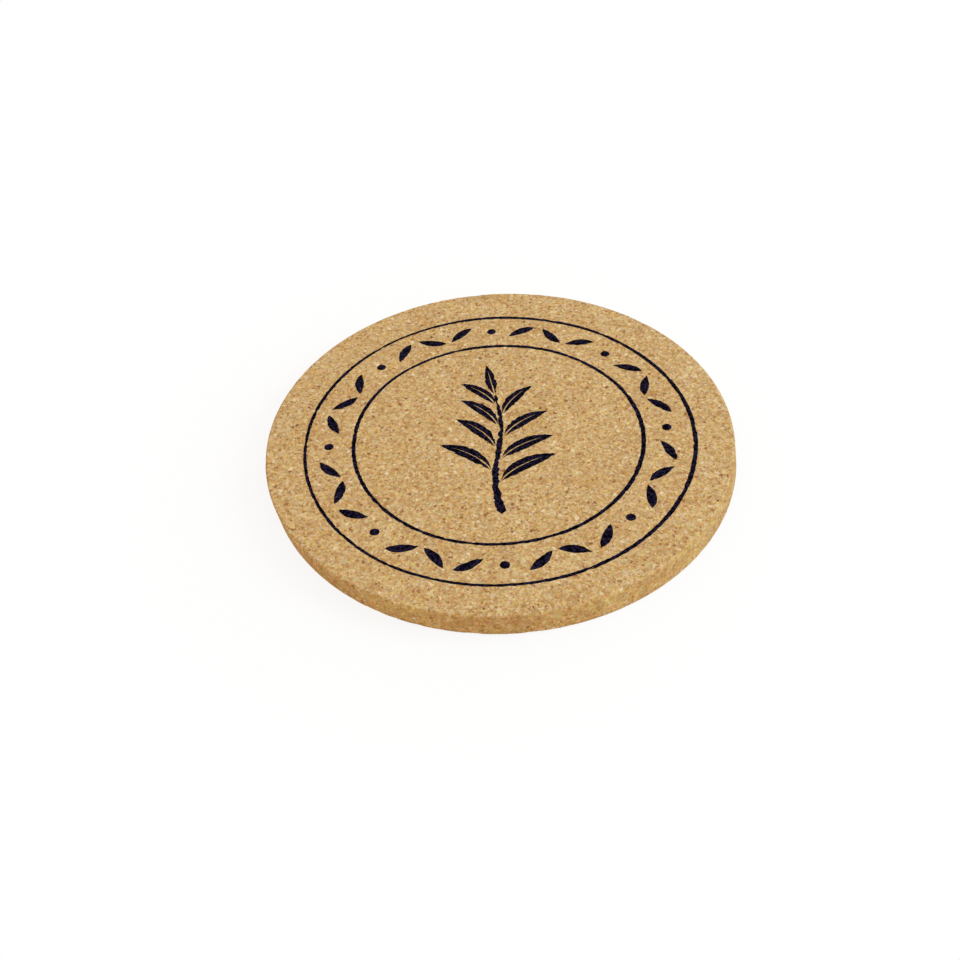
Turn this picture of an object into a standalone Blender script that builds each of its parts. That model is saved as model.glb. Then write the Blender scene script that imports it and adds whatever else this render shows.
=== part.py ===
"""Round pressed-cork drink coaster with a one-colour screen print on its top face.

The coaster is one die-cut disc of pressed cork. On it lies a thin film of dark ink in separate
islands: two ring borders, a garland of leaves and dots between them, and a leafy sprig in the middle.
Units are metres and +Z is up. The origin is the centre of the face that lies on the table.
"""

import math

import bpy

# Disc
DISC_DIAMETER = 0.100
DISC_THICKNESS = 0.0055
TOP_EDGE_RADIUS = 0.0006
BOTTOM_EDGE_RADIUS = 0.0004
DISC_STEPS = 96
EDGE_ARC_STEPS = 4
WELD_DISTANCE = 0.00001  # joins the turned profile's ends and its points on the axis

# Ink film
INK_THICKNESS = 0.00006
INK_CLEARANCE = 0.00002  # between the cork and the film, so that the two solids stay apart
PRINT_SHIFT_X = -0.00052  # the print sits a little off the disc's centre
PRINT_SHIFT_Y = -0.00115

# Ring borders
OUTER_RING_RADIUS = 0.0414
OUTER_RING_SHIFT_X = 0.00025  # the two rings aren't quite concentric
INNER_RING_RADIUS = 0.03085
RING_LINE_WIDTH = 0.00075
RING_RESOLUTION = 24  # segments in each quarter turn

# Garland between the rings
GARLAND_RADIUS = (OUTER_RING_RADIUS + INNER_RING_RADIUS) / 2
GARLAND_PLACES = 32
PLACES_PER_DOT = 4  # one dot, then three leaves
DOT_DIAMETER = 0.0020
DOT_RESOLUTION = 5
GARLAND_LEAF_LENGTH = 0.0066
GARLAND_LEAF_WIDTH = 0.0020
GARLAND_LEAF_TILT = math.radians(34)  # away from the ring's own direction, to either side in turn
GARLAND_LEAF_BOW = 0.05

# Sprig in the middle
STEM_HEIGHT = 0.036
STEM_BASE_Y = -0.0225
STEM_SWAY = 0.0009  # so small that the stem passes over the disc's own centre
STEM_BASE_WIDTH = 0.0018
STEM_TIP_WIDTH = 0.0006
STEM_STATIONS = 18
SIDE_LEAVES = 8
FIRST_LEAF_AT = 0.24  # share of the stem's height
LAST_LEAF_AT = 0.90
FIRST_LEAF_LENGTH = 0.0138
LAST_LEAF_LENGTH = 0.0105
LEAF_WIDTH_SHARE = 0.24  # of the leaf's own length
FIRST_LEAF_ANGLE = math.radians(60)  # between the leaf and the stem
LAST_LEAF_ANGLE = math.radians(38)
SPRIG_LEAF_BOW = 0.10
LEAF_GAP = 0.0005  # bare cork between a leaf and the stem
TIP_LEAF_LENGTH = 0.0100

# Leaf outline
LEAF_RESOLUTION = 8  # segments along each edge of a leaf
LEAF_BASE_HANDLE = 0.22  # where the edges' control points stand, as shares of the length
LEAF_TIP_HANDLE = 0.68
BEZIER_CREST = 0.75  # how far an edge rises towards its two control points
CIRCLE_HANDLE = 4 / 3 * (math.sqrt(2) - 1)  # control-point distance of a quarter circle, per unit radius

# Finishes: colour, roughness
CORK_COLOUR = (0.58, 0.37, 0.165, 1.0)
CORK_ROUGHNESS = 0.85
INK_COLOUR = (0.007, 0.004, 0.010, 1.0)
INK_ROUGHNESS = 0.6

OBJECT_NAME = "cork_coaster"


def mix(first, last, share):
    """The value that lies at a share of the way from first to last."""
    return first + (last - first) * share


def clear_scene():
    for old in list(bpy.data.objects):
        bpy.data.objects.remove(old, do_unlink=True)


def make_collection():
    collection = bpy.data.collections.new(OBJECT_NAME)
    bpy.context.scene.collection.children.link(collection)
    return collection


def make_material(name, colour, roughness):
    material = bpy.data.materials.new(name)
    material.use_nodes = True
    shader = material.node_tree.nodes["Principled BSDF"]
    shader.inputs["Base Color"].default_value = colour
    shader.inputs["Roughness"].default_value = roughness
    shader.inputs["Metallic"].default_value = 0.0
    material.diffuse_color = colour
    return material


def add_object(collection, name, data, parent, material=None):
    piece = bpy.data.objects.new(name, data)
    collection.objects.link(piece)
    piece.parent = parent
    if material is not None:
        data.materials.append(material)
    return piece


def edge_arc(edge_radius, centre_z, start, end):
    """Points (r, z) of the disc's rounded edge, from one angle to the other about the arc's centre."""
    centre_r = DISC_DIAMETER / 2 - edge_radius
    points = []
    for step in range(EDGE_ARC_STEPS + 1):
        angle = mix(start, end, step / EDGE_ARC_STEPS)
        points.append((centre_r + edge_radius * math.cos(angle), centre_z + edge_radius * math.sin(angle)))
    return points


def disc_profile():
    """Half section of the disc, from the top's centre over the edge to the bottom's centre."""
    quarter = math.pi / 2
    top_edge = edge_arc(TOP_EDGE_RADIUS, DISC_THICKNESS - TOP_EDGE_RADIUS, quarter, 0.0)
    bottom_edge = edge_arc(BOTTOM_EDGE_RADIUS, BOTTOM_EDGE_RADIUS, 0.0, -quarter)
    return [(0.0, DISC_THICKNESS), *top_edge, *bottom_edge, (0.0, 0.0)]


def make_disc(collection, parent, material):
    profile = disc_profile()
    mesh = bpy.data.meshes.new("cork_disc")
    points = [(r, 0.0, z) for r, z in profile]
    edges = [(index, index + 1) for index in range(len(profile) - 1)]
    mesh.from_pydata(points, edges, [])
    disc = add_object(collection, "cork_disc", mesh, parent, material)
    turn = disc.modifiers.new("turn", "SCREW")
    turn.axis = "Z"
    turn.angle = math.tau
    turn.screw_offset = 0.0
    turn.steps = DISC_STEPS
    turn.render_steps = DISC_STEPS
    turn.use_merge_vertices = True
    turn.merge_threshold = WELD_DISTANCE
    turn.use_smooth_shade = True


def ink_outline(name, resolution):
    """A flat filled curve as thick as the ink film."""
    curve = bpy.data.curves.new(name, "CURVE")
    curve.dimensions = "2D"
    curve.fill_mode = "BOTH"
    curve.extrude = INK_THICKNESS / 2
    curve.resolution_u = resolution
    return curve


def add_loop(curve, anchors):
    """A closed spline through anchors, each given as its point and its left and right control points."""
    spline = curve.splines.new("BEZIER")
    spline.bezier_points.add(len(anchors) - 1)
    for bezier, (point, left, right) in zip(spline.bezier_points, anchors):
        bezier.handle_left_type = "FREE"
        bezier.handle_right_type = "FREE"
        bezier.co = (*point, 0.0)
        bezier.handle_left = (*left, 0.0)
        bezier.handle_right = (*right, 0.0)
    spline.use_cyclic_u = True


def add_circle(curve, radius):
    """Four quarter arcs about the curve's own origin."""
    reach = radius * CIRCLE_HANDLE
    anchors = []
    for quarter in range(4):
        angle = quarter * math.pi / 2
        out_x, out_y = math.cos(angle), math.sin(angle)
        x, y = radius * out_x, radius * out_y
        left = (x + reach * out_y, y - reach * out_x)
        right = (x - reach * out_y, y + reach * out_x)
        anchors.append(((x, y), left, right))
    add_loop(curve, anchors)


def ring_outline(name, radius):
    curve = ink_outline(name, RING_RESOLUTION)
    add_circle(curve, radius + RING_LINE_WIDTH / 2)
    add_circle(curve, radius - RING_LINE_WIDTH / 2)
    return curve


def dot_outline(name):
    curve = ink_outline(name, DOT_RESOLUTION)
    add_circle(curve, DOT_DIAMETER / 2)
    return curve


def leaf_outline(name, length, width, bow):
    """Almond with its base at the origin and its tip on +X, bowed sideways by a share of its length."""
    curve = ink_outline(name, LEAF_RESOLUTION)
    middle = bow * length / BEZIER_CREST
    rise = width / 2 / BEZIER_CREST
    near, far = LEAF_BASE_HANDLE * length, LEAF_TIP_HANDLE * length
    base = ((0.0, 0.0), (near, middle - rise), (near, middle + rise))
    tip = ((length, 0.0), (far, middle + rise), (far, middle - rise))
    add_loop(curve, [base, tip])
    return curve


def stem_centre(share):
    """Point of the stem's centre line, at a share of its height: it sways left, then right."""
    return -STEM_SWAY * math.sin(math.tau * share), STEM_BASE_Y + STEM_HEIGHT * share


def stem_direction(share):
    """Angle of the stem's centre line from +X."""
    return math.atan2(STEM_HEIGHT, -STEM_SWAY * math.tau * math.cos(math.tau * share))


def stem_half_width(share):
    return mix(STEM_BASE_WIDTH, STEM_TIP_WIDTH, share) / 2


def stem_side(side):
    """Points up one side of the tapering stem: side is 1 for the left and -1 for the right."""
    points = []
    for station in range(STEM_STATIONS + 1):
        share = station / STEM_STATIONS
        x, y = stem_centre(share)
        across = stem_direction(share) + side * math.pi / 2
        half = stem_half_width(share)
        points.append((x + half * math.cos(across), y + half * math.sin(across)))
    return points


def stem_outline(name):
    curve = ink_outline(name, 1)
    outline = stem_side(-1) + stem_side(1)[::-1]
    spline = curve.splines.new("POLY")
    spline.points.add(len(outline) - 1)
    for point, (x, y) in zip(spline.points, outline):
        point.co = (x, y, 0.0, 1.0)
    spline.use_cyclic_u = True
    return curve


def make_rings(collection, parent, ink):
    outer = ring_outline("outer_ring_print", OUTER_RING_RADIUS)
    inner = ring_outline("inner_ring_print", INNER_RING_RADIUS)
    outer_ring = add_object(collection, "outer_ring_print", outer, parent, ink)
    outer_ring.location = (OUTER_RING_SHIFT_X, 0.0, 0.0)
    add_object(collection, "inner_ring_print", inner, parent, ink)


def make_garland(collection, parent, ink):
    """Equal places round the band: a dot, then three leaves tilted to either side in turn."""
    dots = 0
    leaves = 0
    for place in range(GARLAND_PLACES):
        angle = math.tau * place / GARLAND_PLACES
        x, y = GARLAND_RADIUS * math.cos(angle), GARLAND_RADIUS * math.sin(angle)
        if place % PLACES_PER_DOT == 0:
            dots += 1
            name = f"garland_dot_{dots}"
            dot = add_object(collection, name, dot_outline(name), parent, ink)
            dot.location = (x, y, 0.0)
            continue
        leaves += 1
        side = 1 if place % 2 else -1
        name = f"garland_leaf_{leaves:02d}"
        outline = leaf_outline(name, GARLAND_LEAF_LENGTH, GARLAND_LEAF_WIDTH, -side * GARLAND_LEAF_BOW)
        leaf = add_object(collection, name, outline, parent, ink)
        heading = angle + math.pi / 2 + side * GARLAND_LEAF_TILT
        back = GARLAND_LEAF_LENGTH / 2
        leaf.location = (x - back * math.cos(heading), y - back * math.sin(heading), 0.0)
        leaf.rotation_euler = (0.0, 0.0, heading)


def place_on_stem(leaf, share, turn, offset):
    """Sets a leaf's base a short offset from the stem's centre line, at an angle to the stem."""
    heading = stem_direction(share) + turn
    x, y = stem_centre(share)
    leaf.location = (x + offset * math.cos(heading), y + offset * math.sin(heading), 0.0)
    leaf.rotation_euler = (0.0, 0.0, heading)


def make_sprig(collection, parent, ink):
    """A swaying stem with leaves to either side in turn, and one leaf at its tip."""
    add_object(collection, "sprig_stem", stem_outline("sprig_stem"), parent, ink)
    for number in range(SIDE_LEAVES):
        rank = number / (SIDE_LEAVES - 1)
        side = 1 if number % 2 else -1
        share = mix(FIRST_LEAF_AT, LAST_LEAF_AT, rank)
        angle = mix(FIRST_LEAF_ANGLE, LAST_LEAF_ANGLE, rank)
        length = mix(FIRST_LEAF_LENGTH, LAST_LEAF_LENGTH, rank)
        name = f"sprig_leaf_{number + 1:02d}"
        outline = leaf_outline(name, length, LEAF_WIDTH_SHARE * length, -side * SPRIG_LEAF_BOW)
        leaf = add_object(collection, name, outline, parent, ink)
        place_on_stem(leaf, share, side * angle, stem_half_width(share) / math.sin(angle) + LEAF_GAP)
    name = "sprig_tip_leaf"
    outline = leaf_outline(name, TIP_LEAF_LENGTH, LEAF_WIDTH_SHARE * TIP_LEAF_LENGTH, 0.0)
    tip_leaf = add_object(collection, name, outline, parent, ink)
    place_on_stem(tip_leaf, 1.0, 0.0, LEAF_GAP)


def main():
    clear_scene()
    collection = make_collection()
    cork = make_material("pressed_cork", CORK_COLOUR, CORK_ROUGHNESS)
    ink = make_material("print_ink", INK_COLOUR, INK_ROUGHNESS)
    coaster = add_object(collection, "coaster_origin", None, None)
    make_disc(collection, coaster, cork)
    film_middle = DISC_THICKNESS + INK_CLEARANCE + INK_THICKNESS / 2
    print_centre = add_object(collection, "print_centre", None, coaster)
    print_centre.location = (PRINT_SHIFT_X, PRINT_SHIFT_Y, film_middle)
    make_rings(collection, print_centre, ink)
    make_garland(collection, print_centre, ink)
    make_sprig(collection, print_centre, ink)
    bpy.context.view_layer.update()


main()
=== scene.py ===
"""Looks of a round pressed-cork coaster with a one-colour print on its top face.

Every piece is a surface worked out with numpy. The disc is a round grid over each face, joined by a
turned rim and sunk by the cork's grain and pits. Each island of ink is a low film between two edges.
Units are metres and +Z is up. The origin is the centre of the face that lies on the table.
"""
import math

import bpy
import numpy as np
from mathutils import Matrix, Vector


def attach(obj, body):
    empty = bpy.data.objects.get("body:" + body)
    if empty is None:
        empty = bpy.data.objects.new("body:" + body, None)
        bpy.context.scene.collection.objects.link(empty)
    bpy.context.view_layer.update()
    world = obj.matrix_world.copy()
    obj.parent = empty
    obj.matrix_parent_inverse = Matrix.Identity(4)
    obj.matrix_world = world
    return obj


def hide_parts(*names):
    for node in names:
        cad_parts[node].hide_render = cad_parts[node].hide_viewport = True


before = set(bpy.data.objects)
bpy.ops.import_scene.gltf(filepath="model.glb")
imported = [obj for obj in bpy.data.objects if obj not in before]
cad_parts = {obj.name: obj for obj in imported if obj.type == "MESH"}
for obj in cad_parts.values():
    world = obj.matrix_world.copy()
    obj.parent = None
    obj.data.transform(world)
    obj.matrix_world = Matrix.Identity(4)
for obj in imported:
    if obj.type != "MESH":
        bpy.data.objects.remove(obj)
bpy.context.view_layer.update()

BODY = "root"

# Disc
DISC_RADIUS = 0.050
DISC_THICKNESS = 0.0055
TOP_EDGE_RADIUS = 0.0006
BOTTOM_EDGE_RADIUS = 0.0004
FACE_CELLS = 200  # along each side of a face's round grid
TOP_EDGE_ROWS = 8
WALL_ROWS = 9
BOTTOM_EDGE_ROWS = 3
CUT_LEAN = 0.00076  # how far the wall's foot lies right of its head, as cut by a die askew
CUT_START = math.radians(74)  # tilt of the rounded edge at which the die's cut and the side's painted shade begin to show
CUT_FULL = math.radians(28)  # and at which they show in full

# Relief of the cork, always inwards from the ideal surface
GRAIN_SIZE = 0.0011
GRAIN_DEPTH = 0.000018
GRAIN_STEEPNESS = 2.0  # how fast a grain falls away from its centre
GRAIN_SEED = 11
WAVE_SIZE = 0.011
WAVE_DEPTH = 0.00003
WAVE_SEED = 12
PIT_SPACING = 0.0042
PIT_RADIUS = 0.00055
PIT_LEAST = 0.5  # share of that radius which the smallest pit has
PIT_DEPTH = 0.00022
PIT_SHARE = 0.45  # of the places where a pit may be
PIT_SEED = 13
CHIP_SIZE = 0.0016
CHIP_START = 0.2  # the noise level past which crumbs have come off the cut edge
CHIP_DEPTH = 0.00020
CHIP_SEED = 15

# Print
PRINT_CENTRE = np.array([-0.00052, -0.00115])  # from the disc's centre
FILM_TOP = 0.00006  # above the cork's ideal top face
FILM_ROOT = 0.00015  # below it, so that the film's underside is never seen
FILM_SINK = 0.6  # share of the grain's relief that the film follows
# Section of the film as pairs: share across from right to left, share of the height from root to top
FILM_SECTION = np.array([
    (-1.0, 0.0), (-1.0, 0.85), (-0.9, 1.0), (-0.45, 1.0), (0.0, 1.0),
    (0.45, 1.0), (0.9, 1.0), (1.0, 0.85), (1.0, 0.0),
])
EDGE_GRAIN = 0.0006
EDGE_ROUGHNESS = 0.00008
EDGE_SEED = 21
BITE_SIZE = 0.0013
BITE_START = 0.30  # the noise level past which a bite is missing from the ink's edge
BITE_DEPTH = 0.00034
BITE_SEED = 22
CALM_WIDTH = 0.0008  # strokes narrower than this are roughened less
BRUSHED = 2.3  # how much rougher the sprig's strokes are than the rings
STATION_STEP = 0.00014
LEAST_STATIONS = 24  # along the shortest stroke

# Ring borders
OUTER_RING_RADIUS = 0.0414
OUTER_RING_SHIFT = np.array([0.00025, 0.0])
INNER_RING_RADIUS = 0.03085
RING_STRETCH = 0.004  # the rings are longer by this share along one diagonal, and shorter across it
RING_STRETCH_AXIS = math.radians(-30)
OUTER_RING_LIGHT_WIDTH = 0.00062
INNER_RING_LIGHT_WIDTH = 0.00071
RING_HEAVY_WIDTH = 0.00091
RING_HEAVY_SIDE = math.radians(8)
RING_SWELL = 0.00017  # slow change of the line's width
RING_SWELL_SIZE = 0.018
RING_SWELL_SEED = 103
RING_WOBBLE = 0.00018
RING_WOBBLE_SIZE = 0.013
RING_WOBBLE_SEED = 1114

# Garland between the rings
GARLAND_RADIUS = (OUTER_RING_RADIUS + INNER_RING_RADIUS) / 2
GARLAND_PLACES = 32
PLACES_PER_DOT = 4
DOT_RADIUS = 0.0010
GARLAND_LEAF_LENGTH = 0.0066
GARLAND_LEAF_WIDTH = 0.0020
GARLAND_LEAF_TILT = math.radians(34)
GARLAND_LEAF_BOW = 0.05  # share of the leaf's length

# Sprig in the middle
STEM_HEIGHT = 0.036
STEM_BASE_Y = -0.0225
STEM_SWAY = 0.0009  # to either side
STEM_BASE_WIDTH = 0.0018
STEM_TIP_WIDTH = 0.0006
SIDE_LEAVES = 8
FIRST_LEAF_AT = 0.24  # share of the stem's height
LAST_LEAF_AT = 0.90
FIRST_LEAF_LENGTH = 0.0138
LAST_LEAF_LENGTH = 0.0105
LEAF_WIDTH_SHARE = 0.24  # of the leaf's length
FIRST_LEAF_ANGLE = math.radians(60)
LAST_LEAF_ANGLE = math.radians(38)
SPRIG_LEAF_BOW = 0.10  # share of the leaf's length
LEAF_GAP = 0.0005  # between a leaf's base and the stem
TIP_LEAF_LENGTH = 0.0100
LEAF_BASE_HANDLE = 0.22  # places along a leaf of its outline's two handles
LEAF_TIP_HANDLE = 0.68
VEIN_HALF_WIDTH = 0.00017  # of the bare line along a sprig leaf's middle, where it starts
VEIN_REACH = 0.80  # share of the leaf's outline at which the bare line ends
VEIN_ROUGHNESS = 0.6  # of the bare line's edges, beside the rings' own

# Cork finish: sizes in metres, weights of each part's share in the tone
SWIRL_SIZE = 0.0009
SWIRL_REACH = 0.0004
GRANULE_SIZE = 0.00085
GRANULE_WEIGHT = 0.18
CRUMB_SIZE = 0.00048
CRUMB_WEIGHT = 0.47
MOTTLE_SIZE = 0.00032
MOTTLE_WEIGHT = 0.88
CLOUD_SIZE = 0.0065
CLOUD_WEIGHT = 0.20
CORK_TONES = (
    (0.02, (0.349, 0.163, 0.047, 1.0)),
    (0.28, (0.481, 0.268, 0.096, 1.0)),
    (0.50, (0.587, 0.375, 0.157, 1.0)),
    (0.72, (0.683, 0.487, 0.237, 1.0)),
    (0.98, (0.805, 0.652, 0.386, 1.0)),
)
MIDDLE_TONE = CORK_TONES[len(CORK_TONES) // 2][1]
HUE_SIZE = 0.00084
YELLOWING = ((0.26, (0.909, 0.96, 1.19, 1.0)), (0.74, (1.091, 1.04, 0.81, 1.0)))
REDDENING = ((0.26, (0.937, 1.094, 0.955, 1.0)), (0.74, (1.063, 0.906, 1.045, 1.0)))
CORK_ROUGHNESS = (0.80, 0.96)
CORK_SPECULAR = 0.25
DOME_HEIGHT = 0.7  # of a crumb, beside the mottling's own height
CORK_BUMP = 0.17
CORK_BUMP_DEPTH = 0.00012

# Flecks in the cork: spacing of the places, share of them left empty, radii and strength
BARK_FLECKS = {"spacing": 0.0018, "empty": 0.50, "least": 0.00008, "most": 0.00044, "strength": 0.78}
BARK_COLOUR = (0.190, 0.050, 0.010, 1.0)
RUST_FLECKS = {"spacing": 0.00095, "empty": 0.34, "least": 0.00008, "most": 0.00034, "strength": 0.76}
RUST_COLOUR = (0.310, 0.100, 0.024, 1.0)
PALE_FLECKS = {"spacing": 0.0015, "empty": 0.45, "least": 0.00008, "most": 0.00044, "strength": 0.76}
PALE_COLOUR = (0.860, 0.700, 0.450, 1.0)
FLECK_SOFTNESS = 0.00006
FLECK_RAG_SIZE = 0.00038
FLECK_RAG_REACH = 0.0011  # how far the flecks' outlines are pulled about
CELL_SPIN = 29.0  # turns a place inside a cell into a number that says nothing of the place
RUST_OFFSET = (0.005, 0.017, 0.031)  # so that the kinds of fleck fall in different places
PALE_OFFSET = (0.013, 0.029, 0.007)
# painted shade in the pits, darkest at each pit's middle
PIT_SHADE_COLOUR = (0.250, 0.120, 0.045, 1.0)
PIT_SHADE_STRENGTH = 0.75

# The cut wall, where the die has smeared the grain, and which is partly darkened by painted shade
CUT_SMEAR = 0.22  # share of the cork's middle tone in the wall's colour
CUT_HUE_SHARE = 0.6  # share of the grain's own reddening and yellowing
CUT_BLOTCH_SIZE = 0.0012
CUT_BLOTCH_STRETCH = 0.6  # below 1 the blotches are taller than they are wide
# darker and browner than the top: partly the cut face's own colour, partly painted shade on the side
CUT_AND_SHADE_TONES = ((0.28, (0.808, 0.73, 0.57, 1.0)), (0.72, (1.024, 1.01, 0.93, 1.0)))
CUT_PATCH_SIZE = 0.006  # of slow patches along the wall, the dark ones redder
CUT_PATCH_DETAIL = 1.0
CUT_PATCH_OFFSET = (0.020, 0.015, 0.048)  # sets where round the wall the patches lie
CUT_PATCH_TONES = ((0.30, (0.94, 0.885, 0.85, 1.0)), (0.70, (1.06, 1.115, 1.15, 1.0)))

# Ink finish
COVER_SIZE = 0.0006
COVER_DETAIL = 3.0
COVER_TONES = ((0.43, (0.0, 0.0, 0.0006, 1.0)), (0.64, (0.0202, 0.0149, 0.0425, 1.0)))
INK_ROUGHNESS = (0.55, 0.80)
INK_SPECULAR = 0.01
PINHOLES = {"spacing": 0.0016, "empty": 0.50, "least": 0.00005, "most": 0.00016, "strength": 0.75}
PINHOLE_COLOUR = (0.210, 0.130, 0.065, 1.0)
INK_GRAIN_SIZE = 0.0004
INK_BUMP = 0.25
INK_BUMP_DEPTH = 0.00008

# Camera, fitted to the disc's rim and the two rings in the picture
CAMERA_PLACE = (-0.00038, -0.19369, 0.18552)
CAMERA_HEADING = math.radians(1.3580)
CAMERA_PITCH = math.radians(44.9875)
CAMERA_ROLL = math.radians(-4.3068)
CAMERA_LENS = 46.2529  # millimetres, as the sensor's width is
CAMERA_SENSOR = 36.0
CAMERA_NEAR = 0.01  # nothing nearer is drawn

# Floor, lamp and room
WHITE = (1.0, 1.0, 1.0, 1.0)
FLOOR_HALF = 1.5
FLOOR_DROP = 0.00002
FLOOR_COLOUR = (0.92, 0.84, 0.75, 1.0)  # as it lights the disc's side
FLOOR_GLOW_NEAR = 0.85  # how much of its white the floor keeps in the disc's shadow
SHADOW_REACH = 2 * DISC_RADIUS  # distance from the disc's centre at which its shadow has faded
AMBIENT_COLOUR = (1.12, 0.99, 0.85, 1.0)
AMBIENT_STRENGTH = 0.75
KEY_PLACE = (0.86, -0.03, 0.50)
KEY_SIZE = 0.50
KEY_POWER = 5.0
KEY_COLOUR = (0.66, 1.03, 1.32)

# Values of the helpers
NOISE_TABLE = 48  # the meshes' noise repeats after this many lattice cells
NOISE_DETAIL = 2.0  # of a material's noise, where no other is named
NOISE_MIDDLE = (0.5, 0.5, 0.5)
NOISE_MAIN = (0.3, 0.7)  # where most of a material's noise lies
SMALLEST = 1e-9  # keeps a stroke of no width from being divided by
MIX_SHARE, MIX_FIRST, MIX_SECOND, MIX_RESULT = 0, 6, 7, 2  # sockets of a Mix node for colours


# Blending and noise

def mix(first, last, share):
    """The value that lies at a share of the way from first to last."""
    return first + (last - first) * share


def smooth_step(share):
    """A share from 0 to 1 with level ends: three times its square less twice its cube."""
    return share * share * (3.0 - 2.0 * share)


def lattice_place(points, size):
    """Lattice cell of each point, and the point's place inside it from 0 to 1."""
    at = points / size
    cell = np.floor(at).astype(int)
    return cell, at - cell


def smooth_noise(points, size, seed):
    """Noise from -1 to 1: random values on a cubic lattice, blended by smooth steps along its axes."""
    table = np.random.default_rng(seed).uniform(-1.0, 1.0, (NOISE_TABLE,) * 3)
    cell, share = lattice_place(points, size)
    share = smooth_step(share)
    total = np.zeros(len(points))
    for corner in np.ndindex(2, 2, 2):
        weight = np.prod(np.where(corner, share, 1.0 - share), axis=1)
        x, y, z = ((cell + corner) % NOISE_TABLE).T
        total += weight * table[x, y, z]
    return total


def nearest_grain(points, size, seed):
    """Distance to the nearest grain centre, in lattice cells, and that grain's own random number.

    Each cell of a cubic lattice holds one centre at a random place, so a point looks at 27 cells.
    """
    random = np.random.default_rng(seed)
    centres = random.random((NOISE_TABLE,) * 3 + (3,))
    numbers = random.random((NOISE_TABLE,) * 3)
    cell, share = lattice_place(points, size)
    nearest = np.full(len(points), np.inf)
    number = np.zeros(len(points))
    for corner in np.ndindex(3, 3, 3):
        step = np.array(corner) - 1
        x, y, z = ((cell + step) % NOISE_TABLE).T
        distance = np.linalg.norm(step + centres[x, y, z] - share, axis=1)
        closer = distance < nearest
        nearest = np.where(closer, distance, nearest)
        number = np.where(closer, numbers[x, y, z], number)
    return nearest, number


# Mesh helpers

def raised(flat, z=DISC_THICKNESS):
    """Points of the plane given a height."""
    return np.column_stack([flat, np.full(len(flat), z)])


def add_object(name, data):
    """An object of the scene that holds a mesh, a lamp or a lens."""
    made = bpy.data.objects.new(name, data)
    bpy.context.scene.collection.objects.link(made)
    return made


def make_piece(name, points, faces, material):
    """Mesh object at the origin, from an array of points and face arrays of one corner count each."""
    corners = np.concatenate([group.ravel() for group in faces]).astype(np.int32)
    sizes = np.concatenate([np.full(len(group), group.shape[1]) for group in faces])
    starts = (np.cumsum(sizes) - sizes).astype(np.int32)
    mesh = bpy.data.meshes.new(name)
    mesh.vertices.add(len(points))
    mesh.vertices.foreach_set("co", points.astype(np.float32).ravel())
    mesh.loops.add(len(corners))
    mesh.loops.foreach_set("vertex_index", corners)
    mesh.polygons.add(len(sizes))
    mesh.polygons.foreach_set("loop_start", starts)
    mesh.update(calc_edges=True)
    mesh.validate()
    mesh.shade_smooth()
    mesh.materials.append(material)
    return add_object(name, mesh)


def add_attribute(piece, name, values):
    """One number at each point of the piece, for its material to read."""
    attribute = piece.data.attributes.new(name, "FLOAT", "POINT")
    attribute.data.foreach_set("value", values.astype(np.float32))


def settle(piece, node):
    """The piece rides on the one body and stands for its CAD node."""
    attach(piece, BODY)
    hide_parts(node)


# Cork disc

def cork_relief(points):
    """Depth of the pressed cork under its ideal surface, and how far each point lies in a pit, 0 to 1.

    A grain is a low dome that falls with the square of the distance from its centre. A slow wave runs
    under the grains. A pit is a round bowl where a crumb has come out.
    """
    gap, _ = nearest_grain(points, GRAIN_SIZE, GRAIN_SEED)
    grain = GRAIN_DEPTH * np.minimum(gap * gap * GRAIN_STEEPNESS, 1.0)
    wave = WAVE_DEPTH * (0.5 + 0.5 * smooth_noise(points, WAVE_SIZE, WAVE_SEED))
    pit_gap, pit_number = nearest_grain(points, PIT_SPACING, PIT_SEED)
    radius = PIT_RADIUS * mix(PIT_LEAST, 1.0, pit_number / PIT_SHARE)
    bowl = np.clip(1.0 - (pit_gap * PIT_SPACING / radius) ** 2, 0.0, 1.0)
    pit = np.where(pit_number < PIT_SHARE, bowl, 0.0)
    return grain + wave, pit


def round_grid():
    """Square grid laid over the unit disc, so that each of its square rings becomes a circle.

    The radius is the larger of the two coordinates a and b. The angle is an eighth of a turn times
    b / a in the right and left quarters, and a quarter turn less an eighth times a / b in the others.
    """
    side = np.linspace(-1.0, 1.0, FACE_CELLS + 1)
    a, b = np.meshgrid(side, side, indexing="ij")
    wide = np.abs(a) > np.abs(b)
    radius = np.where(wide, a, b)
    safe = np.where(radius == 0.0, 1.0, radius)
    angle = np.where(wide, np.pi / 4 * b / safe, np.pi / 2 - np.pi / 4 * a / safe)
    return np.stack([radius * np.cos(angle), radius * np.sin(angle)], axis=-1).reshape(-1, 2)


def grid_border(index):
    """The grid's outer points once round, anticlockwise from its lower right corner."""
    return np.concatenate([index[-1, :-1], index[:0:-1, -1], index[0, :0:-1], index[:-1, 0]])


def rim_profile():
    """Radius, height and tilt of the rim's rows: a quarter arc, the cut wall and a smaller arc."""
    top = np.linspace(np.pi / 2, 0.0, TOP_EDGE_ROWS + 1)
    bottom = np.linspace(0.0, -np.pi / 2, BOTTOM_EDGE_ROWS + 1)
    wall_top = DISC_THICKNESS - TOP_EDGE_RADIUS
    wall = np.linspace(wall_top, BOTTOM_EDGE_RADIUS, WALL_ROWS + 1)[1:-1]
    radius = np.concatenate([
        DISC_RADIUS - TOP_EDGE_RADIUS * (1.0 - np.cos(top)),
        np.full(len(wall), DISC_RADIUS),
        DISC_RADIUS - BOTTOM_EDGE_RADIUS * (1.0 - np.cos(bottom)),
    ])
    height = np.concatenate([
        wall_top + TOP_EDGE_RADIUS * np.sin(top),
        wall,
        BOTTOM_EDGE_RADIUS * (1.0 + np.sin(bottom)),
    ])
    tilt = np.concatenate([top, np.zeros(len(wall)), bottom])
    return radius, height, tilt


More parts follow.
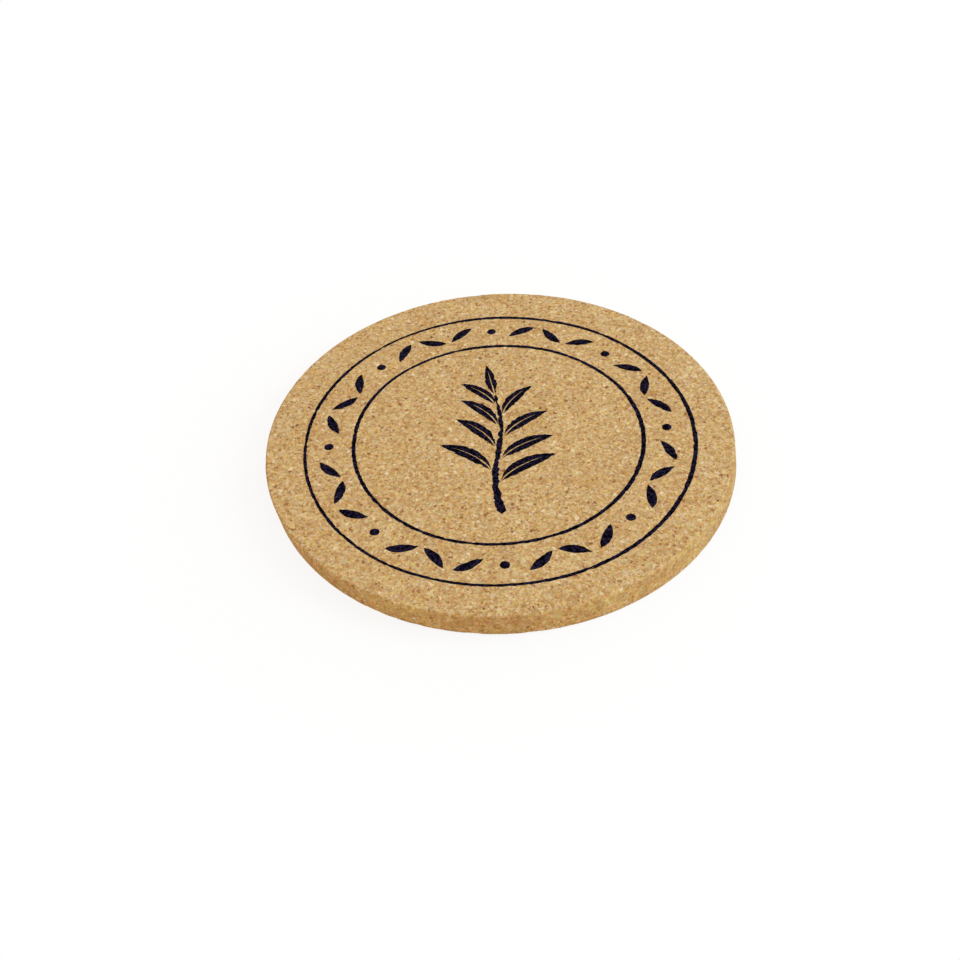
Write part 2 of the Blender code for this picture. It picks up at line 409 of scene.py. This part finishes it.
def cut_and_shade_share(tilt):
    """Share of the cut wall's colour and painted shade at a tilt of the edge: a smooth step between two
    tilts.
    """
    return smooth_step(np.clip((CUT_START - tilt) / (CUT_START - CUT_FULL), 0.0, 1.0))


def make_disc(material):
    """Two round grids joined by a turned rim, slid sideways in step with its height by the cut's lean.

    Every point is then sunk along its normal by the cork's relief, and on the rounded edges also by
    chips, which are deepest where the edge is half turned.
    """
    flat = round_grid()
    index = np.arange(len(flat)).reshape(FACE_CELLS + 1, FACE_CELLS + 1)
    border = grid_border(index)
    around = np.arctan2(flat[border, 1], flat[border, 0])
    radius, height, tilt = rim_profile()

    def face(scale, z, normal_z):
        """Points of one face and their normals."""
        return raised(flat * scale, z), np.tile([0.0, 0.0, normal_z], (len(flat), 1))

    top, top_normals = face(radius[0], DISC_THICKNESS, 1.0)
    bottom, bottom_normals = face(radius[-1], 0.0, -1.0)
    inner = slice(1, -1)  # the first and last rows are the borders of the faces
    turn = np.stack([np.cos(around), np.sin(around)], axis=-1)
    shape = (len(radius) - 2, len(border))
    rim = np.empty(shape + (3,))
    rim[..., :2] = radius[inner, None, None] * turn
    rim[..., 2] = height[inner, None]
    rim_normals = np.empty_like(rim)
    rim_normals[..., :2] = np.cos(tilt[inner])[:, None, None] * turn
    rim_normals[..., 2] = np.sin(tilt[inner])[:, None]
    row_cut_and_shade = cut_and_shade_share(np.abs(tilt[inner]))
    row_arris = np.sin(2.0 * np.abs(tilt[inner]))

    points = np.concatenate([top, rim.reshape(-1, 3), bottom])
    points[:, 0] += CUT_LEAN * (0.5 - points[:, 2] / DISC_THICKNESS)
    normals = np.concatenate([top_normals, rim_normals.reshape(-1, 3), bottom_normals])
    plain = np.zeros(len(flat))
    cut_and_shaded_side = np.concatenate([plain, np.repeat(row_cut_and_shade, len(border)), plain])
    arris = np.concatenate([plain, np.repeat(row_arris, len(border)), plain])

    depth, pit = cork_relief(points)
    chip = CHIP_DEPTH * np.clip(smooth_noise(points, CHIP_SIZE, CHIP_SEED) - CHIP_START, 0.0, 1.0)
    sunk = depth + PIT_DEPTH * pit + chip * arris
    points = points - normals * sunk[:, None]

    bottom_start = len(top) + shape[0] * shape[1]
    rim_index = np.arange(len(top), bottom_start).reshape(shape)
    rows = np.vstack([border, rim_index, border + bottom_start])
    upper, lower = rows[:-1], rows[1:]
    quads = np.stack([lower, np.roll(lower, -1, axis=1), np.roll(upper, -1, axis=1), upper], axis=-1)
    cells = np.stack([index[:-1, :-1], index[1:, :-1], index[1:, 1:], index[:-1, 1:]], axis=-1)
    cells = cells.reshape(-1, 4)
    faces = [cells, quads.reshape(-1, 4), cells[:, ::-1] + bottom_start]
    disc = make_piece("pressed_cork_disc", points, faces, material)
    add_attribute(disc, "cut_and_shaded_side", cut_and_shaded_side)
    add_attribute(disc, "pit", pit)
    settle(disc, "cork_disc")


# Ink film

def edge_noise(edge):
    """Shift of an ink edge: noise as fine as the grain, and a bite where a slower noise peaks."""
    fine = smooth_noise(raised(edge), EDGE_GRAIN, EDGE_SEED)
    bite = np.maximum(smooth_noise(raised(edge), BITE_SIZE, BITE_SEED) - BITE_START, 0.0)
    return (EDGE_ROUGHNESS * fine - BITE_DEPTH * bite)[:, None]


def roughen(left, right, roughness):
    """Both edges shifted across the stroke by the edge noise, less where the stroke is narrow.

    The roughness holds a factor for the left edge and one for the right.
    """
    across = left - right
    width = np.linalg.norm(across, axis=1, keepdims=True)
    outward = across / np.maximum(width, SMALLEST) * np.minimum(1.0, width / CALM_WIDTH)
    left_rough, right_rough = roughness
    left = left + left_rough * outward * edge_noise(left)
    right = right - right_rough * outward * edge_noise(right)
    return left, right


def film_surface(left, right):
    """Sections of the film between two edges, as stations by section points.

    A point lies at the middle plus its share of the half width. Its height runs from the root inside
    the cork to the film's top, which sinks a little with the grain under it.
    """
    middle, half = (left + right) / 2, (left - right) / 2
    share, rise = FILM_SECTION.T
    flat = middle[:, None, :] + share[None, :, None] * half[:, None, :]
    depth, _ = cork_relief(raised(flat.reshape(-1, 2)))
    top = DISC_THICKNESS + FILM_TOP - FILM_SINK * depth.reshape(flat.shape[:2])
    root = DISC_THICKNESS - FILM_ROOT
    z = root + rise * (top - root)
    return np.concatenate([flat, z[..., None]], axis=-1)


def ink_film(node, left, right, material, roughness=(1.0, 1.0), closed=False):
    """Closed tube of film sections. A stroke's two end stations have no width and become its poles."""
    left, right = roughen(left + PRINT_CENTRE, right + PRINT_CENTRE, roughness)
    surface = film_surface(left, right)
    body = surface if closed else surface[1:-1]
    index = np.arange(body.shape[0] * body.shape[1]).reshape(body.shape[:2])
    here = index if closed else index[:-1]
    ahead = np.roll(index, -1, axis=0) if closed else index[1:]
    quads = np.stack([here, ahead, np.roll(ahead, -1, axis=1), np.roll(here, -1, axis=1)], axis=-1)
    points = body.reshape(-1, 3)
    faces = [quads.reshape(-1, 4)]
    if not closed:
        poles = surface[[0, -1]].mean(axis=1)
        first, last = len(points), len(points) + 1
        points = np.vstack([points, poles])
        start, end = index[0], index[-1]
        faces.append(np.column_stack([np.full(len(start), first), start, np.roll(start, -1)]))
        faces.append(np.column_stack([np.full(len(end), last), np.roll(end, -1), end]))
    piece = make_piece(node + "_film", points, faces, material)
    settle(piece, node)


def stations(length):
    """Shares from 0 to 1 along a stroke, closer near its ends: half of 1 - cos of even angles."""
    count = max(LEAST_STATIONS, round(length / STATION_STEP))
    return (1.0 - np.cos(np.linspace(0.0, np.pi, count + 1))) / 2.0


def ring_edges(radius, light_width):
    """Left and right edge of a ring line, walked anticlockwise.

    The ring is stretched by a cosine of twice the angle. Its width follows a cosine of the angle from
    its heavy side. Both also change by a slow noise along the line.
    """
    count = round(math.tau * radius / STATION_STEP)
    angle = np.arange(count) * math.tau / count
    out = np.column_stack([np.cos(angle), np.sin(angle)])
    circle = raised(out * radius)
    middle = radius * (1.0 + RING_STRETCH * np.cos(2.0 * (angle - RING_STRETCH_AXIS)))
    middle += RING_WOBBLE * smooth_noise(circle, RING_WOBBLE_SIZE, RING_WOBBLE_SEED)
    width = mix(light_width, RING_HEAVY_WIDTH, 0.5 + 0.5 * np.cos(angle - RING_HEAVY_SIDE))
    width += RING_SWELL * smooth_noise(circle, RING_SWELL_SIZE, RING_SWELL_SEED)
    return out * (middle - width / 2)[:, None], out * (middle + width / 2)[:, None]


def turned(x, y, base, heading):
    """Points of a stroke's own axes turned to its heading and moved to its base."""
    cos, sin = math.cos(heading), math.sin(heading)
    return np.column_stack([base[0] + x * cos - y * sin, base[1] + x * sin + y * cos])


def dot_edges(centre):
    """Left and right half circle of a dot, walked from its left end to its right end."""
    along = stations(2 * DOT_RADIUS) * 2.0 - 1.0
    half = DOT_RADIUS * np.sqrt(np.maximum(1.0 - along * along, 0.0))
    x = DOT_RADIUS * along
    return turned(x, half, centre, 0.0), turned(x, -half, centre, 0.0)


def leaf_line(u, length, width, bow):
    """Length, middle line and half width of an almond leaf at u, from 0 at its base to 1 at its tip.

    Its edges are cubic Bezier curves of u: the length rises by their two handles, the middle line bows
    sideways by 4 u (1 - u) of the bow, and the half width is 4 u (1 - u) of half the leaf's width.
    """
    along = 3 * u * (1 - u) ** 2 * LEAF_BASE_HANDLE + 3 * u ** 2 * (1 - u) * LEAF_TIP_HANDLE + u ** 3
    swell = 4.0 * u * (1.0 - u)
    return length * along, bow * length * swell, width / 2 * swell


def leaf_edges(base, heading, length, width, bow):
    """Left and right edge of a full leaf from its base to its tip."""
    x, middle, half = leaf_line(stations(length), length, width, bow)
    return turned(x, middle + half, base, heading), turned(x, middle - half, base, heading)


def veined_leaf_edges(base, heading, length, width, bow):
    """Outer and inner edge of a leaf with a bare vein, walked up its left half, round the tip and down.

    The outer edge is the leaf's outline, drawn apart at the base by the vein. The inner edge follows
    the same middle line only as far as the vein reaches, and closes there. The vein narrows with the
    square root of the way to its end.
    """
    walk = np.linspace(0.0, 1.0, 2 * len(stations(length)) - 1)
    u = (1.0 - np.cos(math.tau * walk)) / 2.0
    side = np.where(walk < 0.5, 1.0, -1.0)
    vein = VEIN_HALF_WIDTH * np.sqrt(1.0 - u)
    x, middle, half = leaf_line(u, length, width, bow)
    outer = turned(x, middle + side * np.hypot(half, vein), base, heading)
    x, middle, _ = leaf_line(u * VEIN_REACH, length, width, bow)
    return outer, turned(x, middle + side * vein, base, heading)


def stem_centre(share):
    """Point of the stem's centre line at a share of its height: it sways left, then right."""
    return np.stack([-STEM_SWAY * np.sin(math.tau * share), STEM_BASE_Y + STEM_HEIGHT * share], axis=-1)


def stem_direction(share):
    """Angle of the stem's centre line from +X."""
    return np.arctan2(STEM_HEIGHT, -STEM_SWAY * math.tau * np.cos(math.tau * share))


def stem_half_width(share):
    """Half width of the stem, which tapers evenly from its base to its tip."""
    return mix(STEM_BASE_WIDTH, STEM_TIP_WIDTH, share) / 2


def stem_edges():
    """Left and right edge of the tapering stem, rounded off at both ends."""
    share = stations(STEM_HEIGHT)
    half = stem_half_width(share)
    to_end = np.minimum(share, 1.0 - share) * STEM_HEIGHT
    rounding = np.sqrt(np.clip(1.0 - (1.0 - np.minimum(to_end / half, 1.0)) ** 2, 0.0, 1.0))
    across = stem_direction(share) + math.pi / 2
    offset = (half * rounding)[:, None] * np.column_stack([np.cos(across), np.sin(across)])
    return stem_centre(share) + offset, stem_centre(share) - offset


def make_rings(material):
    """The two ring borders, the outer one set a little to the right."""
    left, right = ring_edges(OUTER_RING_RADIUS, OUTER_RING_LIGHT_WIDTH)
    left, right = left + OUTER_RING_SHIFT, right + OUTER_RING_SHIFT
    ink_film("outer_ring_print", left, right, material, closed=True)
    left, right = ring_edges(INNER_RING_RADIUS, INNER_RING_LIGHT_WIDTH)
    ink_film("inner_ring_print", left, right, material, closed=True)


def make_garland(material):
    """Equal places round the band: a dot, then three leaves tilted to either side in turn."""
    dots = 0
    leaves = 0
    for place in range(GARLAND_PLACES):
        angle = math.tau * place / GARLAND_PLACES
        centre = GARLAND_RADIUS * np.array([math.cos(angle), math.sin(angle)])
        if place % PLACES_PER_DOT == 0:
            dots += 1
            ink_film(f"garland_dot_{dots}", *dot_edges(centre), material)
            continue
        leaves += 1
        side = 1 if place % 2 else -1
        heading = angle + math.pi / 2 + side * GARLAND_LEAF_TILT
        base = centre - GARLAND_LEAF_LENGTH / 2 * np.array([math.cos(heading), math.sin(heading)])
        bow = -side * GARLAND_LEAF_BOW
        edges = leaf_edges(base, heading, GARLAND_LEAF_LENGTH, GARLAND_LEAF_WIDTH, bow)
        ink_film(f"garland_leaf_{leaves:02d}", *edges, material)


def sprig_leaf_edges(share, turn, offset, length, bow):
    """Edges of a leaf turned from the stem, its base a short offset from the stem's centre line."""
    heading = float(stem_direction(share)) + turn
    base = stem_centre(share) + offset * np.array([math.cos(heading), math.sin(heading)])
    return veined_leaf_edges(base, heading, length, LEAF_WIDTH_SHARE * length, bow)


def make_sprig(material):
    """A swaying stem with leaves to either side in turn, and one leaf at its tip."""
    ink_film("sprig_stem", *stem_edges(), material, roughness=(BRUSHED, BRUSHED))
    leaf_roughness = (BRUSHED, VEIN_ROUGHNESS)
    for number in range(SIDE_LEAVES):
        rank = number / (SIDE_LEAVES - 1)
        side = 1 if number % 2 else -1
        share = mix(FIRST_LEAF_AT, LAST_LEAF_AT, rank)
        angle = mix(FIRST_LEAF_ANGLE, LAST_LEAF_ANGLE, rank)
        length = mix(FIRST_LEAF_LENGTH, LAST_LEAF_LENGTH, rank)
        offset = stem_half_width(share) / math.sin(angle) + LEAF_GAP
        edges = sprig_leaf_edges(share, side * angle, offset, length, -side * SPRIG_LEAF_BOW)
        ink_film(f"sprig_leaf_{number + 1:02d}", *edges, material, roughness=leaf_roughness)
    edges = sprig_leaf_edges(1.0, 0.0, LEAF_GAP, TIP_LEAF_LENGTH, 0.0)
    ink_film("sprig_tip_leaf", *edges, material, roughness=leaf_roughness)


# Materials

class Nodes:
    """Short words for building a node tree."""

    def __init__(self, tree):
        self.tree = tree

    def link(self, output, socket):
        """An output joined to an input."""
        self.tree.links.new(output, socket)

    def add(self, kind, inputs=None, **settings):
        """A node with its settings, and its inputs set to values or linked to other nodes' outputs."""
        made = self.tree.nodes.new(kind)
        for name, value in settings.items():
            setattr(made, name, value)
        for socket, value in (inputs or {}).items():
            if isinstance(value, bpy.types.NodeSocket):
                self.link(value, made.inputs[socket])
            else:
                made.inputs[socket].default_value = value
        return made

    def object_place(self):
        """Each point's place in the object's own metres."""
        return self.add("ShaderNodeTexCoord").outputs["Object"]

    def math(self, operation, first, second=0.0, third=0.0):
        """Arithmetic on numbers."""
        inputs = {0: first, 1: second, 2: third}
        return self.add("ShaderNodeMath", inputs, operation=operation).outputs[0]

    def vector(self, operation, first, second):
        """Arithmetic on places."""
        return self.add("ShaderNodeVectorMath", {0: first, 1: second}, operation=operation).outputs[0]

    def noise(self, vector, size, detail=NOISE_DETAIL, output="Fac"):
        """Noise with features of a size in metres, as one number or as the three of a colour."""
        inputs = {"Vector": vector, "Scale": 1.0 / size, "Detail": detail}
        return self.add("ShaderNodeTexNoise", inputs).outputs[output]

    def pulled(self, vector, size, reach):
        """Places pulled about by a noise, so that shapes drawn there lose their even outlines."""
        pull = self.vector("SUBTRACT", self.noise(vector, size, output="Color"), NOISE_MIDDLE)
        pull = self.add("ShaderNodeVectorMath", {0: pull, "Scale": reach}, operation="SCALE").outputs[0]
        return self.vector("ADD", vector, pull)

    def cells(self, vector, size):
        """Cells of a size in metres around points of a disturbed lattice."""
        return self.add("ShaderNodeTexVoronoi", {"Vector": vector, "Scale": 1.0 / size})

    def cell_number(self, cells):
        """A random number of each cell: its colour, which only repeats its centre's place, is spun."""
        place = self.split(cells.outputs["Color"])
        return self.math("FRACT", self.math("MULTIPLY", place[0], CELL_SPIN))

    def spread(self, value, low, high, to_low=0.0, to_high=1.0, kind="SMOOTHSTEP"):
        """Value carried from one range to another and held at its ends."""
        inputs = {
            "Value": value,
            "From Min": low,
            "From Max": high,
            "To Min": to_low,
            "To Max": to_high,
        }
        return self.add("ShaderNodeMapRange", inputs, interpolation_type=kind).outputs[0]

    def blend(self, share, first, second, kind="MIX"):
        """Two colours mixed by a share of the second."""
        inputs = {MIX_SHARE: share, MIX_FIRST: first, MIX_SECOND: second}
        made = self.add("ShaderNodeMix", inputs, data_type="RGBA", blend_type=kind)
        return made.outputs[MIX_RESULT]

    def ramp(self, value, stops):
        """A colour read off a row of stops at a value."""
        made = self.add("ShaderNodeValToRGB", {"Fac": value})
        elements = made.color_ramp.elements
        while len(elements) < len(stops):
            elements.new(1.0)  # at the end for now, as each stop's own place is set below
        for element, (place, colour) in zip(elements, stops):
            element.position = place
            element.color = colour
        return made.outputs[0]

    def split(self, colour):
        """The three channels of a colour."""
        return self.add("ShaderNodeSeparateColor", {0: colour}).outputs

    def tint(self, colour, factor, share=1.0):
        """A colour multiplied by another, in full or by a share."""
        return self.blend(share, colour, factor, kind="MULTIPLY")

    def attribute(self, name):
        """A number that the mesh carries at its points."""
        return self.add("ShaderNodeAttribute", attribute_name=name).outputs["Fac"]

    def bump(self, height, strength, depth):
        """Normals of a surface with a fine relief of this height."""
        inputs = {"Height": height, "Strength": strength, "Distance": depth}
        return self.add("ShaderNodeBump", inputs).outputs[0]


def new_material(name):
    """A node material, a Nodes helper for its tree, and its Principled shader."""
    material = bpy.data.materials.new(name)
    material.use_nodes = True
    nodes = Nodes(material.node_tree)
    shader = material.node_tree.nodes["Principled BSDF"]
    return material, nodes, shader


def fleck_mask(nodes, vector, spacing, empty, least, most, strength):
    """Scattered flecks: a cell whose number passes the empty share holds one, sized by its number."""
    cells = nodes.cells(vector, spacing)
    number = nodes.cell_number(cells)
    size = nodes.spread(number, empty, 1.0, least / spacing, most / spacing, kind="LINEAR")
    depth = nodes.math("SUBTRACT", size, cells.outputs["Distance"])
    inside = nodes.spread(depth, -FLECK_SOFTNESS / spacing, FLECK_SOFTNESS / spacing, 0.0, strength)
    return nodes.math("MULTIPLY", inside, nodes.math("GREATER_THAN", number, empty))


def cork_material():
    """Pressed cork: grains of two sizes, each of its own tone, mottled, uneven in hue and flecked."""
    material, nodes, shader = new_material("pressed_cork")
    place = nodes.object_place()
    bent = nodes.pulled(place, SWIRL_SIZE, SWIRL_REACH)

    granule = nodes.cell_number(nodes.cells(bent, GRANULE_SIZE))
    crumb_cells = nodes.cells(bent, CRUMB_SIZE)
    crumb = nodes.cell_number(crumb_cells)
    mottle = nodes.noise(place, MOTTLE_SIZE)
    cloud = nodes.noise(place, CLOUD_SIZE)
    parts = (
        (granule, GRANULE_WEIGHT),
        (crumb, CRUMB_WEIGHT),
        (mottle, MOTTLE_WEIGHT),
        (cloud, CLOUD_WEIGHT),
    )
    # Each part lies about a half, and the start is set so that their weighted sum does too
    tone = 0.5 - 0.5 * sum(weight for _, weight in parts)
    for part, weight in parts:
        tone = nodes.math("MULTIPLY_ADD", part, weight, tone)
    colour = nodes.ramp(tone, CORK_TONES)
    hue = nodes.split(nodes.noise(bent, HUE_SIZE, output="Color"))
    colour = nodes.tint(colour, nodes.ramp(hue[0], YELLOWING))
    colour = nodes.tint(colour, nodes.ramp(hue[1], REDDENING))

    ragged = nodes.pulled(bent, FLECK_RAG_SIZE, FLECK_RAG_REACH)
    rust = fleck_mask(nodes, nodes.vector("ADD", ragged, RUST_OFFSET), **RUST_FLECKS)
    colour = nodes.blend(rust, colour, RUST_COLOUR)
    pale = fleck_mask(nodes, nodes.vector("ADD", ragged, PALE_OFFSET), **PALE_FLECKS)
    colour = nodes.blend(pale, colour, PALE_COLOUR)
    bark = fleck_mask(nodes, ragged, **BARK_FLECKS)
    colour = nodes.blend(bark, colour, BARK_COLOUR)
    # painted shade: darker towards the middle of each pit
    pit = nodes.math("MULTIPLY", nodes.attribute("pit"), PIT_SHADE_STRENGTH)
    colour = nodes.blend(pit, colour, PIT_SHADE_COLOUR)

    upright = nodes.vector("MULTIPLY", place, (1.0, 1.0, CUT_BLOTCH_STRETCH))
    blotch = nodes.split(nodes.noise(upright, CUT_BLOTCH_SIZE, output="Color"))
    cut_and_shade = nodes.blend(CUT_SMEAR, colour, MIDDLE_TONE)
    # the wall's tones darken and brown it: partly the cut's own colour, partly painted shade of the
    # side
    cut_and_shade = nodes.tint(cut_and_shade, nodes.ramp(blotch[0], CUT_AND_SHADE_TONES))
    cut_and_shade = nodes.tint(cut_and_shade, nodes.ramp(blotch[1], REDDENING), CUT_HUE_SHARE)
    cut_and_shade = nodes.tint(cut_and_shade, nodes.ramp(blotch[2], YELLOWING), CUT_HUE_SHARE)
    patch_place = nodes.vector("ADD", upright, CUT_PATCH_OFFSET)
    patch = nodes.noise(patch_place, CUT_PATCH_SIZE, CUT_PATCH_DETAIL)
    cut_and_shade = nodes.tint(cut_and_shade, nodes.ramp(patch, CUT_PATCH_TONES))
    # the wall takes its cut colour, partly darkened as painted shade of the side
    colour = nodes.blend(nodes.attribute("cut_and_shaded_side"), colour, cut_and_shade)
    nodes.link(colour, shader.inputs["Base Color"])

    roughness = nodes.spread(mottle, *NOISE_MAIN, *CORK_ROUGHNESS)
    nodes.link(roughness, shader.inputs["Roughness"])
    shader.inputs["Specular IOR Level"].default_value = CORK_SPECULAR
    height = nodes.math("MULTIPLY_ADD", crumb_cells.outputs["Distance"], -DOME_HEIGHT, mottle)
    nodes.link(nodes.bump(height, CORK_BUMP, CORK_BUMP_DEPTH), shader.inputs["Normal"])
    return material


def ink_material():
    """Matte navy-black ink: uneven cover, a fine grain, and pinholes where the cork shows through."""
    material, nodes, shader = new_material("print_ink")
    place = nodes.object_place()
    cover = nodes.noise(place, COVER_SIZE, COVER_DETAIL)
    colour = nodes.ramp(cover, COVER_TONES)
    colour = nodes.blend(fleck_mask(nodes, place, **PINHOLES), colour, PINHOLE_COLOUR)
    nodes.link(colour, shader.inputs["Base Color"])
    roughness = nodes.spread(cover, *NOISE_MAIN, *INK_ROUGHNESS)
    nodes.link(roughness, shader.inputs["Roughness"])
    shader.inputs["Specular IOR Level"].default_value = INK_SPECULAR
    grain = nodes.noise(place, INK_GRAIN_SIZE)
    nodes.link(nodes.bump(grain, INK_BUMP, INK_BUMP_DEPTH), shader.inputs["Normal"])
    return material


# Stage

def seen_directly(nodes):
    """1 for rays from the camera, in mirrors or through glass, and 0 for light that falls on things."""
    path = nodes.add("ShaderNodeLightPath")
    seen = nodes.math("MAXIMUM", path.outputs["Is Camera Ray"], path.outputs["Is Glossy Ray"])
    return nodes.math("MAXIMUM", seen, path.outputs["Is Transmission Ray"])


def floor_material():
    """Pale floor that lights the disc as itself, but is seen as white with a soft shadow."""
    material, nodes, shader = new_material("pale_floor")
    nodes.tree.nodes.remove(shader)
    place = nodes.object_place()
    away = nodes.add("ShaderNodeVectorMath", {0: place}, operation="LENGTH").outputs["Value"]
    glow = nodes.spread(away, DISC_RADIUS, SHADOW_REACH, FLOOR_GLOW_NEAR, 1.0)
    bounce = nodes.add("ShaderNodeBsdfDiffuse", {"Color": FLOOR_COLOUR}).outputs[0]
    shaded = nodes.add("ShaderNodeBsdfDiffuse", {"Color": WHITE}).outputs[0]
    white = nodes.add("ShaderNodeEmission", {"Color": WHITE, "Strength": 1.0}).outputs[0]
    seen = nodes.add("ShaderNodeMixShader", {0: glow, 1: shaded, 2: white}).outputs[0]
    mixed = nodes.add("ShaderNodeMixShader", {0: seen_directly(nodes), 1: bounce, 2: seen}).outputs[0]
    nodes.link(mixed, nodes.tree.nodes["Material Output"].inputs["Surface"])
    return material


def make_floor():
    """A flat square a hair below the disc's foot."""
    corners = np.array([(-1.0, -1.0), (1.0, -1.0), (1.0, 1.0), (-1.0, 1.0)]) * FLOOR_HALF
    face = np.arange(len(corners)).reshape(1, -1)
    floor = make_piece("floor", raised(corners, -FLOOR_DROP), [face], floor_material())


def make_world():
    """White where it is seen, and an even soft light where it falls on things."""
    world = bpy.data.worlds.new("soft_room")
    bpy.context.scene.world = world
    world.use_nodes = True
    nodes = Nodes(world.node_tree)
    ambient = nodes.tree.nodes["Background"]
    ambient.inputs["Color"].default_value = AMBIENT_COLOUR
    ambient.inputs["Strength"].default_value = AMBIENT_STRENGTH
    white = nodes.add("ShaderNodeBackground", {"Color": WHITE, "Strength": 1.0}).outputs[0]
    mixed = nodes.add("ShaderNodeMixShader", {0: seen_directly(nodes), 1: ambient.outputs[0], 2: white})
    nodes.link(mixed.outputs[0], nodes.tree.nodes["World Output"].inputs["Surface"])


def add_lamp(name, place, size, power, colour):
    """A square soft lamp that faces the disc."""
    lamp = bpy.data.lights.new(name, "AREA")
    lamp.shape = "SQUARE"
    lamp.size = size
    lamp.energy = power
    lamp.color = colour
    holder = add_object(name, lamp)
    holder.location = place
    holder.rotation_euler = Vector(place).to_track_quat("Z", "Y").to_euler()


def make_camera():
    """The picture's camera: rolled on its own axis, pitched up from straight down, and turned."""
    lens = bpy.data.cameras.new("camera")
    lens.lens = CAMERA_LENS
    lens.sensor_width = CAMERA_SENSOR
    lens.clip_start = CAMERA_NEAR
    camera = add_object("camera", lens)
    turn = Matrix.Rotation(CAMERA_HEADING, 4, "Z") @ Matrix.Rotation(CAMERA_PITCH, 4, "X")
    camera.matrix_world = Matrix.Translation(CAMERA_PLACE) @ turn @ Matrix.Rotation(CAMERA_ROLL, 4, "Z")
    bpy.context.scene.camera = camera


make_camera()
cork = cork_material()
ink = ink_material()
make_disc(cork)
make_rings(ink)
make_garland(ink)
make_sprig(ink)
make_floor()
make_world()
add_lamp("key_lamp", KEY_PLACE, KEY_SIZE, KEY_POWER, KEY_COLOUR)
bpy.context.scene.view_settings.view_transform = "Standard"
